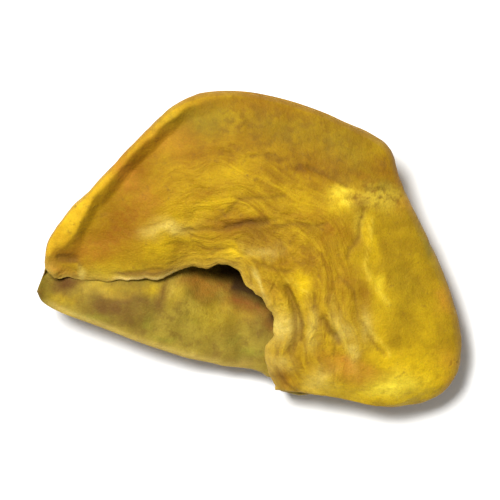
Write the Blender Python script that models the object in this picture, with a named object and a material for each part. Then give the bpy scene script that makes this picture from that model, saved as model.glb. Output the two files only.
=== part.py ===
"""A dried slice of wild turmeric root, curled over on itself into a shallow pouch.

The slice is one sheet of root flesh. A lower leaf lies on the table like a bowl, rolls over along the
outline at the left, top and right, and comes back above itself as the upper leaf, which ends in a torn
edge. Between the torn edge and the free edge of the lower leaf, at the lower left, the pouch is open.

The sheet is lofted through sections. Each section runs from the free edge, under the slice, round the
roll and back over the top to the torn edge. Lengths in the tables are millimetres, +Z up.
"""

import math

import bmesh
import bpy
import numpy as np

MM = 0.001

# Middle of the drawing that the section table was measured on, so that the origin is under the middle.
DRAWING_CENTRE = (-0.573, -0.068)

# One row for each section, from the pinched left tip over the top to the lower right.
# roll x, y: outline, where the sheet rolls over.  torn x, y: torn edge of the upper leaf.
# free x, y: free edge of the lower leaf.
SECTIONS = np.array([
    # roll x, y      torn x, y      free x, y
    (-25.0, -1.3, -23.8, -3.4, -25.9, -5.0),
    (-24.5, 1.2, -22.0, -3.2, -25.2, -6.3),
    (-22.3, 4.2, -19.8, -3.8, -23.1, -7.5),
    (-19.5, 7.0, -17.1, -3.7, -20.7, -8.4),
    (-16.2, 10.5, -14.2, -3.9, -18.0, -9.4),
    (-12.9, 13.8, -11.4, -3.6, -15.3, -10.5),
    (-9.9, 16.7, -8.9, -2.7, -12.9, -11.4),
    (-6.4, 18.3, -6.5, -2.4, -10.5, -12.2),
    (-2.1, 18.6, -4.2, -2.2, -8.4, -12.9),
    (2.4, 17.9, -2.4, -2.6, -6.6, -13.3),
    (7.2, 16.5, -1.2, -3.8, -5.1, -13.6),
    (11.4, 14.7, -0.4, -4.7, -4.0, -13.9),
    (14.3, 13.2, 0.2, -5.4, -3.3, -14.0),
    (16.0, 11.6, 0.7, -6.0, -2.7, -14.1),
    (17.2, 8.4, 1.4, -6.8, -1.9, -14.2),
    (19.6, 3.1, 2.0, -8.0, -1.0, -14.3),
    (22.2, -2.2, 2.0, -9.3, -0.2, -14.3),
    (24.2, -7.8, 1.6, -10.5, 0.6, -14.4),
    (24.7, -12.6, 1.2, -11.9, 1.2, -14.6),
    (23.0, -16.6, 1.2, -13.5, 1.9, -14.9),
    (19.4, -18.5, 1.8, -15.3, 2.5, -15.7),
    (15.8, -18.9, 2.6, -17.0, 3.1, -16.7),
])

# Heights over the table for the same rows. roll: middle of the roll, and its radius. torn: top of the
# torn edge. free: underside of the free edge. keel: lowest stretch of the section. dip: depth of the
# valley behind the lip. crown: how far the upper leaf arches up.
HEIGHTS = np.array([
    # roll, radius, torn, free, keel, dip, crown
    (8.8, 0.9, 9.3, 7.7, 6.9, 0.0, 0.0),
    (9.7, 1.0, 9.1, 7.3, 6.0, 0.3, 0.1),
    (10.9, 1.1, 9.0, 7.0, 5.0, 0.8, 0.3),
    (11.8, 1.2, 9.0, 6.8, 4.3, 1.2, 0.6),
    (12.6, 1.3, 9.1, 6.6, 3.6, 1.5, 0.9),
    (13.0, 1.3, 9.3, 6.4, 2.7, 1.6, 1.2),
    (12.9, 1.3, 9.6, 6.1, 1.2, 1.4, 1.5),
    (12.4, 1.3, 10.2, 5.6, -0.4, 1.0, 1.7),
    (11.7, 1.3, 10.8, 5.1, -2.0, 0.6, 1.9),
    (11.1, 1.3, 11.1, 4.6, -2.9, 0.3, 2.0),
    (10.4, 1.4, 11.2, 4.3, -3.3, 0.1, 2.0),
    (9.7, 1.5, 11.2, 4.1, -3.4, 0.0, 2.0),
    (9.2, 1.5, 11.1, 4.0, -3.4, 0.0, 2.0),
    (8.8, 1.6, 10.9, 4.0, -3.3, 0.0, 2.0),
    (8.2, 1.9, 10.5, 4.1, -3.0, 0.0, 2.2),
    (7.3, 2.2, 9.9, 4.3, -2.7, 0.0, 2.4),
    (6.5, 2.4, 9.3, 4.2, -2.3, 0.0, 2.6),
    (5.8, 2.5, 8.6, 4.0, -1.7, 0.0, 2.7),
    (5.2, 2.5, 8.0, 3.7, -1.0, 0.0, 2.4),
    (4.7, 2.4, 7.4, 3.3, -0.1, 0.0, 1.8),
    (4.4, 2.2, 6.8, 2.9, 0.9, 0.0, 0.9),
    (4.3, 2.1, 6.1, 2.5, 1.7, 0.0, 0.2),
])

STATIONS = 48           # sections in the mesh
LOWER_STEPS = 2         # mesh columns between two control points of the lower leaf
ROLL_STEPS = 2          # and round the roll
UPPER_STEPS = 5         # and over the upper leaf, which carries the fibre ridges

LOWER_SHARES = (0.0, 0.2, 0.42, 0.64, 0.84)     # control points of the lower leaf, free edge to roll
UPPER_SHARES = (0.1, 0.27, 0.46, 0.64, 0.82, 1.0)   # and of the upper leaf, roll to torn edge
ROLL_TURN = 50.0        # degrees from the outline to the roll's control points below and above it
NOSE = len(LOWER_SHARES) + 1    # the control point on the outline
FALL_FROM_LOBE = (0.12, 0.62)   # shares of the lower leaf between which it falls into the hollow
RISE_TO_ROLL = 5.0      # how late it rises to the roll, as a power
VALLEY_FALL = (0.6, 2.8)        # distances in from the roll between which the valley falls
VALLEY_RISE = (3.5, 15.0)       # and between which it comes up again
VALLEY_END = (0.6, 1.0)         # shares of the upper leaf between which it runs out to the torn edge
ROLL_EASE = 0.1         # share of the upper leaf over which relief comes up from the roll

WALL_LEAF = 1.9         # thickness of the dried flesh
WALL_TIP = 0.6          # thickness at the pinched left tip
FLESH_ROWS = 6.0        # rows over which the flesh reaches its full thickness
WALL_EDGE = 0.6         # thickness at the torn edge and the free edge, as a share of the flesh
WALL_IN_ROLL = 0.55     # flesh between the middle of the roll and the lining's own bend, as a share too
DEEPEST_BEND = 0.25     # how far in that bend may lie, as a share of the upper leaf's depth
LINING_BEND = 0.22      # how far the lining's bend reaches to the next control points
TIP_ROWS = 4.0          # rows over which the pinched tip widens out
TIP_UPRIGHT = 3.0       # how upright the thickness is measured there

RIDGES = 7.0            # fibre ridges in the belt round the mouth
FIBRE_BELT = 22.0       # width of that belt
RIDGE_HEIGHT = 0.4
RIDGE_SHARPNESS = 0.6   # power that makes the crests broad and the furrows narrow
RIDGE_MEAN = 0.65       # mean height of a ridge, taken off so that the ridges add no flesh
RIDGE_WAVE = (0.4, 0.9, 5.0)    # share by which the ridges wax and wane, with its rates per row and share
RIM_LEFT = 0.16         # smooth rim outside the fibres, as a share of the upper leaf, left and right
RIM_RIGHT = 0.34
RIM_ROWS = (11.0, 17.0)         # rows between which the rim widens
RIM_FADE = 0.3          # share over which the ridges come up from the rim
TIP_FADE = (1.0, 5.0)   # rows over which they come up from the tip
FLAP_ROWS = (13.0, 14.5, 17.5, 19.0)    # rows where the groove beside the mouth starts, is full, and ends
FLAP_ROOT = 0.86        # groove at the root of the flap beside the mouth, as a share of the upper leaf
GROOVE_WIDTH = 0.035
GROOVE_DEPTH = 0.6
KNOT = (14.1, 6.5, 1.7, 0.5)        # x, y, spread and height of the knot beside the outline's corner
BULGE = (17.0, -15.7, 3.7, 0.7)     # the same for the swelling at the lower right
TIP_KNOB = (-23.4, -2.4, 0.9, 0.45)     # for the tip of the upper leaf
LOBE_KNOB = (-24.9, -4.7, 1.5, 0.7)     # and for the tip of the lower leaf, on its upper side
LOBE_END = (1.0, 3.0)   # control points between which that one fades out
RAGGED = ((0.22, 5.7, 0.0), (0.14, 3.1, 1.0))   # waves of the torn edge: size, length and start
RAGGED_FROM = 0.75      # share of the upper leaf where the waves begin


def smooth_step(low, high, value):
    share = np.clip((value - low) / (high - low), 0.0, 1.0)
    return share * share * (3.0 - 2.0 * share)


def unit(vectors):
    return vectors / np.linalg.norm(vectors, axis=-1, keepdims=True)


def curve_through(points, places):
    """Catmull-Rom curve through the rows of points. A place of 2.5 is half-way from row 2 to row 3."""
    padded = np.concatenate([[2 * points[0] - points[1]], points, [2 * points[-1] - points[-2]]])
    row = np.minimum(np.floor(places).astype(int), len(points) - 2)
    t = (places - row).reshape((-1,) + (1,) * (points.ndim - 1))
    a, b, c, d = (padded[row + k] for k in range(4))
    return 0.5 * (2 * b + (c - a) * t + (2 * a - 5 * b + 4 * c - d) * t ** 2
                  + (3 * b - a - 3 * c + d) * t ** 3)


def control_net():
    """The control points of every section's outer face, as an array of sections by points by x, y, z."""
    roll, torn, free = SECTIONS[:, 0:2], SECTIONS[:, 2:4], SECTIONS[:, 4:6]
    height, radius, torn_z, free_z, keel, _, crown = HEIGHTS.T
    inward = unit((torn + free) / 2 - roll)
    under = roll + inward * radius[:, None]
    points = []

    def add(plan, z):
        points.append(np.concatenate([plan, np.maximum(z, 0.0)[:, None]], axis=1))

    for share in LOWER_SHARES:
        fall = (free_z - keel) * (1 - smooth_step(*FALL_FROM_LOBE, share))
        rise = (height - radius - keel) * share ** RISE_TO_ROLL
        add(free + (under - free) * share, keel + fall + rise)
    for turn in (-ROLL_TURN, 0.0, ROLL_TURN):
        angle = math.radians(turn)
        plan = roll + inward * (radius * (1 - math.cos(angle)))[:, None]
        add(plan, height + radius * math.sin(angle))
    for share in UPPER_SHARES:
        level = height + radius + (torn_z - height - radius) * share
        arch = crown * 4 * share * (1 - share)
        add(under + (torn - under) * share, level + arch)
    return np.stack(points, axis=1)


def lining_net(net):
    """The control points of the inner face: the outer ones moved in by the thickness of the flesh."""
    row = np.arange(len(net))
    flesh = WALL_TIP + (WALL_LEAF - WALL_TIP) * smooth_step(0.0, FLESH_ROWS, row)
    share = np.ones(net.shape[1])
    share[[0, -1]] = WALL_EDGE
    outward = normals_of(net)
    upright = np.sign(outward[:, :, 2]) * (1 - smooth_step(0.0, TIP_ROWS, row))[:, None]
    outward[:, :, 2] += TIP_UPRIGHT * upright
    lining = net - unit(outward) * (flesh[:, None] * share)[:, :, None]
    nose = net[:, NOSE]
    inward = unit((net[:, NOSE - 2] + net[:, NOSE + 2]) / 2 - nose)
    leaf_depth = np.linalg.norm(net[:, -1] - nose, axis=1)
    bend_depth = np.minimum(HEIGHTS[:, 1] + WALL_IN_ROLL * flesh, DEEPEST_BEND * leaf_depth)
    bend = nose + inward * bend_depth[:, None]
    lining[:, NOSE] = bend
    for side in (-1, 1):
        lining[:, NOSE + side] = bend + (lining[:, NOSE + 2 * side] - bend) * LINING_BEND
    return lining


def section_places():
    """Places of the mesh columns along a section, counted in control points."""
    steps = [LOWER_STEPS] * len(LOWER_SHARES) + [ROLL_STEPS] * 2 + [UPPER_STEPS] * len(UPPER_SHARES)
    places = [k + i / step for k, step in enumerate(steps) for i in range(step)]
    return np.array(places + [float(len(steps))])


def normals_of(grid):
    along, across = np.gradient(grid, axis=0), np.gradient(grid, axis=1)
    return unit(np.cross(across, along))


def swelling(x, y, shape):
    middle_x, middle_y, spread, height = shape
    return height * np.exp(-((x - middle_x) ** 2 + (y - middle_y) ** 2) / spread ** 2)


def valley(row, share, depth):
    """How far both faces of the upper leaf dip behind the lip. Depth is the leaf's, from roll to torn edge."""
    dip = curve_through(HEIGHTS[:, 5], row[:, 0])[:, None]
    inward = share * depth
    trough = smooth_step(*VALLEY_FALL, inward) * (1 - smooth_step(*VALLEY_RISE, inward))
    return dip * trough * (1 - smooth_step(*VALLEY_END, share))


def ridges(row, share, depth):
    """The fibre ridges, which lie round the mouth like the layers of an onion."""
    rim = RIM_LEFT + (RIM_RIGHT - RIM_LEFT) * smooth_step(*RIM_ROWS, row)
    fibrous = smooth_step(rim, rim + RIM_FADE, share) * smooth_step(*TIP_FADE, row)
    fibre = 1 - (1 - share) * depth / FIBRE_BELT
    ridge = np.abs(np.sin(math.pi * RIDGES * fibre)) ** RIDGE_SHARPNESS - RIDGE_MEAN
    wave, row_rate, share_rate = RIDGE_WAVE
    presence = 1 - wave + wave * np.sin(row_rate * row + share_rate * share)
    return RIDGE_HEIGHT * fibrous * ridge * presence


def groove(row, share):
    start, full, ebb, end = FLAP_ROWS
    beside_mouth = smooth_step(start, full, row) * (1 - smooth_step(ebb, end, row))
    return GROOVE_DEPTH * beside_mouth * np.exp(-((share - FLAP_ROOT) / GROOVE_WIDTH) ** 2)


def ragged_edge(grid, share):
    """The grid with the torn edge drawn out and in along its sections, in waves."""
    steps = np.linalg.norm(np.diff(grid[:, -1], axis=0), axis=1)
    run = np.insert(np.cumsum(steps), 0, 0.0)[:, None]
    waves = sum(size * np.sin(2 * math.pi * run / length + start) for size, length, start in RAGGED)
    reach = waves * smooth_step(RAGGED_FROM, 1.0, share)
    return grid + unit(np.gradient(grid, axis=1)) * reach[:, :, None]


def sheet_faces():
    """Points of the outer face and of the inner face of the sheet, as two grids, in millimetres."""
    places = section_places()
    rows = np.linspace(0, len(SECTIONS) - 1, STATIONS)
    row, place = np.meshgrid(rows, places, indexing="ij")
    share = np.clip((place - NOSE - 1) / (places[-1] - NOSE - 1), 0.0, 1.0)
    leaf = np.linalg.norm(SECTIONS[:, 2:4] - SECTIONS[:, 0:2], axis=1)
    depth = curve_through(leaf, rows)[:, None]

    def grid_through(net):
        sections = curve_through(net, rows)
        grid = curve_through(sections.transpose(1, 0, 2), places).transpose(1, 0, 2)
        grid[:, :, 2] = np.maximum(grid[:, :, 2], 0.0) - valley(row, share, depth)
        grid[:, :, :2] -= DRAWING_CENTRE
        return ragged_edge(grid, share)

    net = control_net()
    outer, inner = grid_through(net), grid_through(lining_net(net))
    x, y = outer[:, :, 0], outer[:, :, 1]
    lift = ridges(row, share, depth) - groove(row, share)
    lift += swelling(x, y, KNOT) + swelling(x, y, BULGE) + swelling(x, y, TIP_KNOB)
    lift *= smooth_step(0.0, ROLL_EASE, share)
    lobe = swelling(inner[:, :, 0], inner[:, :, 1], LOBE_KNOB) * (1 - smooth_step(*LOBE_END, place))
    inner[:, :, 2] += lobe
    return outer + normals_of(outer) * lift[:, :, None], inner


def build_slice(collection, material):
    """A flat grid is extruded into a closed sheet, and its two faces are laid on the lofted ones."""
    outer, inner = sheet_faces()
    rows, columns = outer.shape[:2]
    mesh = bpy.data.meshes.new("turmeric_slice")
    bm = bmesh.new()
    bmesh.ops.create_grid(bm, x_segments=rows - 1, y_segments=columns - 1, size=1.0)
    sheet = bm.verts[:]
    extruded = bmesh.ops.extrude_face_region(bm, geom=bm.faces[:], use_keep_orig=True)
    lining = [item for item in extruded["geom"] if isinstance(item, bmesh.types.BMVert)]
    for verts, face in ((sheet, outer), (lining, inner)):
        for vert in verts:
            row = round((vert.co.x + 1) / 2 * (rows - 1))
            column = round((vert.co.y + 1) / 2 * (columns - 1))
            vert.co = face[row, column] * MM
    bmesh.ops.recalc_face_normals(bm, faces=bm.faces)
    if bm.calc_volume(signed=True) < 0:
        bmesh.ops.reverse_faces(bm, faces=bm.faces)
    bm.to_mesh(mesh)
    bm.free()
    mesh.shade_smooth()
    mesh.materials.append(material)
    obj = bpy.data.objects.new("turmeric_slice", mesh)
    collection.objects.link(obj)


def root_material():
    material = bpy.data.materials.new("dried_root")
    material.use_nodes = True
    shader = material.node_tree.nodes["Principled BSDF"]
    shader.inputs["Base Color"].default_value = (0.48, 0.28, 0.03, 1.0)
    shader.inputs["Roughness"].default_value = 0.72
    shader.inputs["Metallic"].default_value = 0.0
    return material


def main():
    for obj in list(bpy.data.objects):
        bpy.data.objects.remove(obj)
    collection = bpy.data.collections.new("dried_turmeric_slice")
    bpy.context.scene.collection.children.link(collection)
    build_slice(collection, root_material())


main()
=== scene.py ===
# A dried slice of wild turmeric root, curled over on itself, on a pale floor and seen from straight above.

import math

import bpy
import numpy as np
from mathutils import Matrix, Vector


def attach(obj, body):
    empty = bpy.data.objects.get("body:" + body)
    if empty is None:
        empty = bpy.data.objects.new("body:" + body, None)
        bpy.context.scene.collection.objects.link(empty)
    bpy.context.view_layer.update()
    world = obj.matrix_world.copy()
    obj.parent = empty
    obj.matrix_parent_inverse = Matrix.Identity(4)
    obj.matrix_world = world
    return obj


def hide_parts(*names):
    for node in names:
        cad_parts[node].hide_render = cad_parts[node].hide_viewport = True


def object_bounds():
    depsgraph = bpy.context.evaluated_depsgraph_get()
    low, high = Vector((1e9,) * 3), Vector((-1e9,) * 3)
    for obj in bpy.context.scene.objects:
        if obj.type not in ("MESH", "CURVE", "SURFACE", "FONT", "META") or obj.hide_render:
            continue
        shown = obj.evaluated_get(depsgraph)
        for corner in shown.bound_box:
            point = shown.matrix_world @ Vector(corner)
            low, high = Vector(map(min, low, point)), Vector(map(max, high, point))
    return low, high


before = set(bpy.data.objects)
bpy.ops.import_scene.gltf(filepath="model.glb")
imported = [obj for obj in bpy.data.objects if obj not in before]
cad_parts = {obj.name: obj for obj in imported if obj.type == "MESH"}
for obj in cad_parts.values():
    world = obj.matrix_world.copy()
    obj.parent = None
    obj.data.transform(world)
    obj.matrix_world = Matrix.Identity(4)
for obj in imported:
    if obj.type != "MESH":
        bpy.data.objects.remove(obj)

cad_low, cad_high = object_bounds()


# The camera
# The photograph looks straight down on the slice. So does this camera, from far off through a long lens,
# close enough for the slice to fill most of the frame.
CAMERA_HEIGHT = 0.6
FRAME_WIDTH = 0.0595        # width of floor in the frame, in metres
SENSOR = 36.0

middle = (cad_low + cad_high) / 2
bpy.ops.object.camera_add(location=(middle.x, middle.y, CAMERA_HEIGHT), rotation=(0.0, 0.0, 0.0))
camera = bpy.context.object
camera.data.sensor_width = SENSOR
camera.data.lens = SENSOR * (CAMERA_HEIGHT - middle.z) / FRAME_WIDTH
bpy.context.scene.camera = camera


# The slice
# One lengthwise slice of the root, which curled over on itself as it dried. A lower leaf lies on the floor,
# rolls over along the outline and comes back above itself as the upper leaf, which ends in a torn edge. It
# is one sheet of horny, fibrous flesh, about 2 mm thick, with a strip of the root's rind round the roll.
MM = 0.001
DRAWING_CENTRE = (-0.573, -0.068)       # middle of the drawing that the tables were measured on

# One row for each section, from the pinched left tip over the top to the lower right, in millimetres.
# roll: outline, where the sheet rolls over. torn: torn edge of the upper leaf. free: edge of the lower leaf.
SECTIONS = np.array([
    # roll x, y      torn x, y      free x, y
    (-25.0, -1.3, -23.8, -3.4, -25.9, -5.0),
    (-24.5, 1.2, -22.0, -3.2, -25.2, -6.3),
    (-22.3, 4.2, -19.8, -3.8, -23.1, -7.5),
    (-19.5, 7.0, -17.1, -3.7, -20.7, -8.4),
    (-16.2, 10.5, -14.2, -3.9, -18.0, -9.4),
    (-12.9, 13.8, -11.4, -3.6, -15.3, -10.5),
    (-9.9, 16.7, -8.9, -2.7, -12.9, -11.4),
    (-6.4, 18.3, -6.5, -2.4, -10.5, -12.2),
    (-2.1, 18.6, -4.2, -2.2, -8.4, -12.9),
    (2.4, 17.9, -2.4, -2.6, -6.6, -13.3),
    (7.2, 16.5, -1.2, -3.8, -5.1, -13.6),
    (11.4, 14.7, -0.4, -4.7, -4.0, -13.9),
    (14.3, 13.2, 0.2, -5.4, -3.3, -14.0),
    (16.0, 11.6, 0.7, -6.0, -2.7, -14.1),
    (17.2, 8.4, 1.4, -6.8, -1.9, -14.2),
    (19.6, 3.1, 2.0, -8.0, -1.0, -14.3),
    (22.2, -2.2, 2.0, -9.3, -0.2, -14.3),
    (24.2, -7.8, 1.6, -10.5, 0.6, -14.4),
    (24.7, -12.6, 1.2, -11.9, 1.2, -14.6),
    (23.0, -16.6, 1.2, -13.5, 1.9, -14.9),
    (19.4, -18.5, 1.8, -15.3, 2.5, -15.7),
    (15.8, -18.9, 2.6, -17.0, 3.1, -16.7),
])

# Heights over the floor for the same rows. roll: middle of the roll, and its radius. torn: top of the torn
# edge. free: underside of the free edge. keel: lowest stretch. dip: depth of the valley behind the lip.
# crown: how far the upper leaf arches up.
HEIGHTS = np.array([
    # roll, radius, torn, free, keel, dip, crown
    (8.8, 0.9, 9.3, 7.7, 6.9, 0.0, 0.0),
    (9.7, 1.0, 9.1, 7.3, 6.0, 0.3, 0.1),
    (10.9, 1.1, 9.0, 7.0, 5.0, 0.8, 0.3),
    (11.8, 1.2, 9.0, 6.8, 4.3, 1.2, 0.6),
    (12.6, 1.3, 9.1, 6.6, 3.6, 1.5, 0.9),
    (13.0, 1.3, 9.3, 6.4, 2.7, 1.6, 1.2),
    (12.9, 1.3, 9.6, 6.1, 1.2, 1.4, 1.5),
    (12.4, 1.3, 10.2, 5.6, -0.4, 1.0, 1.7),
    (11.7, 1.3, 10.8, 5.1, -2.0, 0.6, 1.9),
    (11.1, 1.3, 11.1, 4.6, -2.9, 0.3, 2.0),
    (10.4, 1.4, 11.2, 4.3, -3.3, 0.1, 2.0),
    (9.7, 1.5, 11.2, 4.1, -3.4, 0.0, 2.0),
    (9.2, 1.5, 11.1, 4.0, -3.4, 0.0, 2.0),
    (8.8, 1.6, 10.9, 4.0, -3.3, 0.0, 2.0),
    (8.2, 1.9, 10.5, 4.1, -3.0, 0.0, 2.2),
    (7.3, 2.2, 9.9, 4.3, -2.7, 0.0, 2.4),
    (6.5, 2.4, 9.3, 4.2, -2.3, 0.0, 2.6),
    (5.8, 2.5, 8.6, 4.0, -1.7, 0.0, 2.7),
    (5.2, 2.5, 8.0, 3.7, -1.0, 0.0, 2.4),
    (4.7, 2.4, 7.4, 3.3, -0.1, 0.0, 1.8),
    (4.4, 2.2, 6.8, 2.9, 0.9, 0.0, 0.9),
    (4.3, 2.1, 6.1, 2.5, 1.7, 0.0, 0.2),
])

# The columns of both tables by name, in their order.
ROLL, TORN, FREE = SECTIONS[:, 0:2], SECTIONS[:, 2:4], SECTIONS[:, 4:6]
ROLL_HEIGHT, ROLL_RADIUS, TORN_HEIGHT, FREE_HEIGHT, KEEL, DIP, CROWN = HEIGHTS.T

LOWER_SHARES = (0.0, 0.2, 0.42, 0.64, 0.84)     # control points of the lower leaf, free edge to roll
UPPER_SHARES = (0.1, 0.27, 0.46, 0.64, 0.82, 1.0)   # and of the upper leaf, roll to torn edge
ROLL_TURN = 50.0        # degrees from the outline to the roll's control points below and above it
NOSE = len(LOWER_SHARES) + 1    # the control point on the outline
FALL_FROM_LOBE = (0.12, 0.62)   # shares of the lower leaf between which it falls into the hollow
LATE_FALL = 0.16        # how much later it falls left of the arch, and the rows where it does
LATE_FALL_ROWS = (0.5, 2.5, 6.4, 8.4)
RISE_TO_ROLL = 5.0      # how late it rises to the roll, as a power
LIP_ROWS = (0.6, 1.4, 2.2, 3.2, 4.2, 5.2, 6.2, 8.0)     # rows of the raised lip
LIP_WIDTHS = (0.2, 1.9, 2.5, 1.3, 1.1, 1.5, 1.2, 0.6)   # and its width there, in millimetres
LIP_END = (6.0, 9.0)    # rows over which it fades out
LIP_UNEVEN = (2.2, 0.35)        # its inner edge wanders this far over this length
LIP_STEP = (-0.5, 2.0)  # distances from its inner edge between which the flesh falls into the valley
VALLEY_RISE = (3.5, 15.0)       # distances in from the roll between which it comes up again to the fibres
VALLEY_END = (0.6, 1.0)         # shares of the upper leaf between which it runs out to the torn edge
DROOP_ROWS = (0.0, 1.0, 1.6, 2.4, 3.2, 5.0, 6.0, 7.0, 8.0)     # rows where the torn edge hangs down
DROOPS = (0.4, 1.0, 1.0, 0.6, 0.3, 0.3, 0.8, 0.7, 0.0)  # how far, until it all but lies on the lobe
DROOP_FROM = 0.6        # share of the upper leaf where it begins to hang

WALL_LEAF = 1.9         # thickness of the dried flesh
WALL_TIP = 0.6          # thickness at the pinched left tip
FLESH_ROWS = 6.0        # rows over which the flesh reaches its full thickness
WALL_EDGE = 0.6         # thickness at the torn edge and the free edge, as a share of the flesh
WALL_IN_ROLL = 0.55     # flesh between the middle of the roll and the lining's own bend, as a share too
DEEPEST_BEND = 0.25     # how far in that bend may lie, as a share of the upper leaf's depth
LINING_BEND = 0.22      # how far the lining's bend reaches to the next control points
TIP_ROWS = 4.0          # rows over which the pinched tip widens out
TIP_UPRIGHT = 3.0       # how upright the thickness is measured there


def smooth_step(low, high, value):
    share = np.clip((value - low) / (high - low), 0.0, 1.0)
    return share * share * (3.0 - 2.0 * share)


def between(rise, full, ebb, end, value):
    """One between full and ebb, falling to nought at rise and at end."""
    return smooth_step(rise, full, value) * (1 - smooth_step(ebb, end, value))


def bell(value, middle, width):
    """One at the middle, falling to nought on both sides of it."""
    return np.exp(-((value - middle) / width) ** 2)


def unit(vectors):
    return vectors / np.linalg.norm(vectors, axis=-1, keepdims=True)


def normals_of(grid):
    along, across = np.gradient(grid, axis=0), np.gradient(grid, axis=1)
    return unit(np.cross(across, along))


def run_along(points, axis=0):
    """Distance along each line of points from its start."""
    steps = np.linalg.norm(np.diff(points, axis=axis), axis=-1)
    return np.insert(np.cumsum(steps, axis=axis), 0, 0.0, axis=axis)


def curve_through(points, places):
    """Catmull-Rom curve through the rows of points. A place of 2.5 is half-way from row 2 to row 3."""
    padded = np.concatenate([[2 * points[0] - points[1]], points, [2 * points[-1] - points[-2]]])
    row = np.minimum(np.floor(places).astype(int), len(points) - 2)
    t = (places - row).reshape((-1,) + (1,) * (points.ndim - 1))
    a, b, c, d = (padded[row + k] for k in range(4))
    return 0.5 * (2 * b + (c - a) * t + (2 * a - 5 * b + 4 * c - d) * t ** 2
                  + (3 * b - a - 3 * c + d) * t ** 3)


def control_net():
    """The control points of every section's outer face, as an array of sections by points by x, y, z."""
    inward = unit((TORN + FREE) / 2 - ROLL)
    under = ROLL + inward * ROLL_RADIUS[:, None]
    late = LATE_FALL * between(*LATE_FALL_ROWS, np.arange(len(SECTIONS)))
    points = []

    def add(plan, z):
        points.append(np.concatenate([plan, np.maximum(z, 0.0)[:, None]], axis=1))

    for share in LOWER_SHARES:
        fall = (FREE_HEIGHT - KEEL) * (1 - smooth_step(*FALL_FROM_LOBE, share - late))
        rise = (ROLL_HEIGHT - ROLL_RADIUS - KEEL) * share ** RISE_TO_ROLL
        add(FREE + (under - FREE) * share, KEEL + fall + rise)
    for turn in (-ROLL_TURN, 0.0, ROLL_TURN):
        angle = math.radians(turn)
        plan = ROLL + inward * (ROLL_RADIUS * (1 - math.cos(angle)))[:, None]
        add(plan, ROLL_HEIGHT + ROLL_RADIUS * math.sin(angle))
    for share in UPPER_SHARES:
        level = ROLL_HEIGHT + ROLL_RADIUS + (TORN_HEIGHT - ROLL_HEIGHT - ROLL_RADIUS) * share
        arch = CROWN * 4 * share * (1 - share)
        add(under + (TORN - under) * share, level + arch)
    return np.stack(points, axis=1)


def lining_net(net):
    """The control points of the inner face: the outer ones moved in by the thickness of the flesh."""
    row = np.arange(len(net))
    flesh = WALL_TIP + (WALL_LEAF - WALL_TIP) * smooth_step(0.0, FLESH_ROWS, row)
    share = np.ones(net.shape[1])
    share[[0, -1]] = WALL_EDGE
    outward = normals_of(net)
    upright = np.sign(outward[:, :, 2]) * (1 - smooth_step(0.0, TIP_ROWS, row))[:, None]
    outward[:, :, 2] += TIP_UPRIGHT * upright
    lining = net - unit(outward) * (flesh[:, None] * share)[:, :, None]
    nose = net[:, NOSE]
    inward = unit((net[:, NOSE - 2] + net[:, NOSE + 2]) / 2 - nose)
    leaf_depth = np.linalg.norm(net[:, -1] - nose, axis=1)
    bend_depth = np.minimum(ROLL_RADIUS + WALL_IN_ROLL * flesh, DEEPEST_BEND * leaf_depth)
    bend = nose + inward * bend_depth[:, None]
    lining[:, NOSE] = bend
    for side in (-1, 1):
        lining[:, NOSE + side] = bend + (lining[:, NOSE + 2 * side] - bend) * LINING_BEND
    return lining


# Lines of the fine mesh. They crowd towards the edges of the sheet, which they round.
ROWS_MIDDLE = 250       # lines across the slice between its first and its last row
ROWS_END = 16           # lines close to each end
END_REACH = 0.5         # how far from the end those lie, in rows
LOWER_STEPS = 5         # columns between two control points of the lower leaf
ROLL_STEPS = 8          # and round the roll
UPPER_STEPS = 18        # and over the upper leaf, which carries the fibres
FREE_EDGE_STEPS = 14    # and next to the free edge
TORN_EDGE_STEPS = 24    # and next to the torn edge


def spaced(start, stop, steps, crowd=None):
    """Places from start up to stop, evenly spaced or crowded towards one of the two."""
    share = np.arange(steps) / steps
    if crowd == "start":
        share = 1 - np.cos(share * math.pi / 2)
    if crowd == "stop":
        share = np.sin(share * math.pi / 2)
    return start + (stop - start) * share


def row_places():
    last = len(SECTIONS) - 1
    return np.concatenate([
        spaced(0.0, END_REACH, ROWS_END, "start"),
        spaced(END_REACH, last - END_REACH, ROWS_MIDDLE),
        spaced(last - END_REACH, last, ROWS_END, "stop"),
        [last],
    ])


def column_places():
    """Places across the sheet, counted in control points from the free edge to the torn edge."""
    lower, upper = len(LOWER_SHARES), len(UPPER_SHARES)
    steps = [FREE_EDGE_STEPS] + [LOWER_STEPS] * (lower - 1) + [ROLL_STEPS] * 2
    steps += [UPPER_STEPS] * (upper - 1) + [TORN_EDGE_STEPS]
    crowd = ["start"] + [None] * (len(steps) - 2) + ["stop"]
    runs = [spaced(k, k + 1, step, crowd[k]) for k, step in enumerate(steps)]
    return np.concatenate(runs + [[len(steps)]])


BUMPS = 128             # random heights each way, after which they repeat

# The seed of each unevenness. Where it is a sum of several waves, each wave takes the next seed.
SEEDS = {"fine": 2, "finest": 3, "creases": 5, "ridges": 6, "strokes_x": 7, "strokes_y": 8, "creased": 9,
         "tears": 10, "outer_face": 20, "inner_face": 30, "marks_x": 40, "marks_y": 50, "fibres": 50,
         "lip": 60, "core": 61}


def bumps(along, across, name, wave=0):
    """Smooth random heights between -1 and 1, one to each unit of the two coordinates."""
    heights = np.random.default_rng(SEEDS[name] + wave).uniform(-1.0, 1.0, (BUMPS, BUMPS))
    i, j = np.floor(along).astype(int), np.floor(across).astype(int)
    s, t = smooth_step(0.0, 1.0, along - i), smooth_step(0.0, 1.0, across - j)
    i0, i1, j0, j1 = i % BUMPS, (i + 1) % BUMPS, j % BUMPS, (j + 1) % BUMPS
    near = heights[i0, j0] * (1 - s) + heights[i1, j0] * s
    far = heights[i0, j1] * (1 - s) + heights[i1, j1] * s
    return near * (1 - t) + far * t


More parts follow.
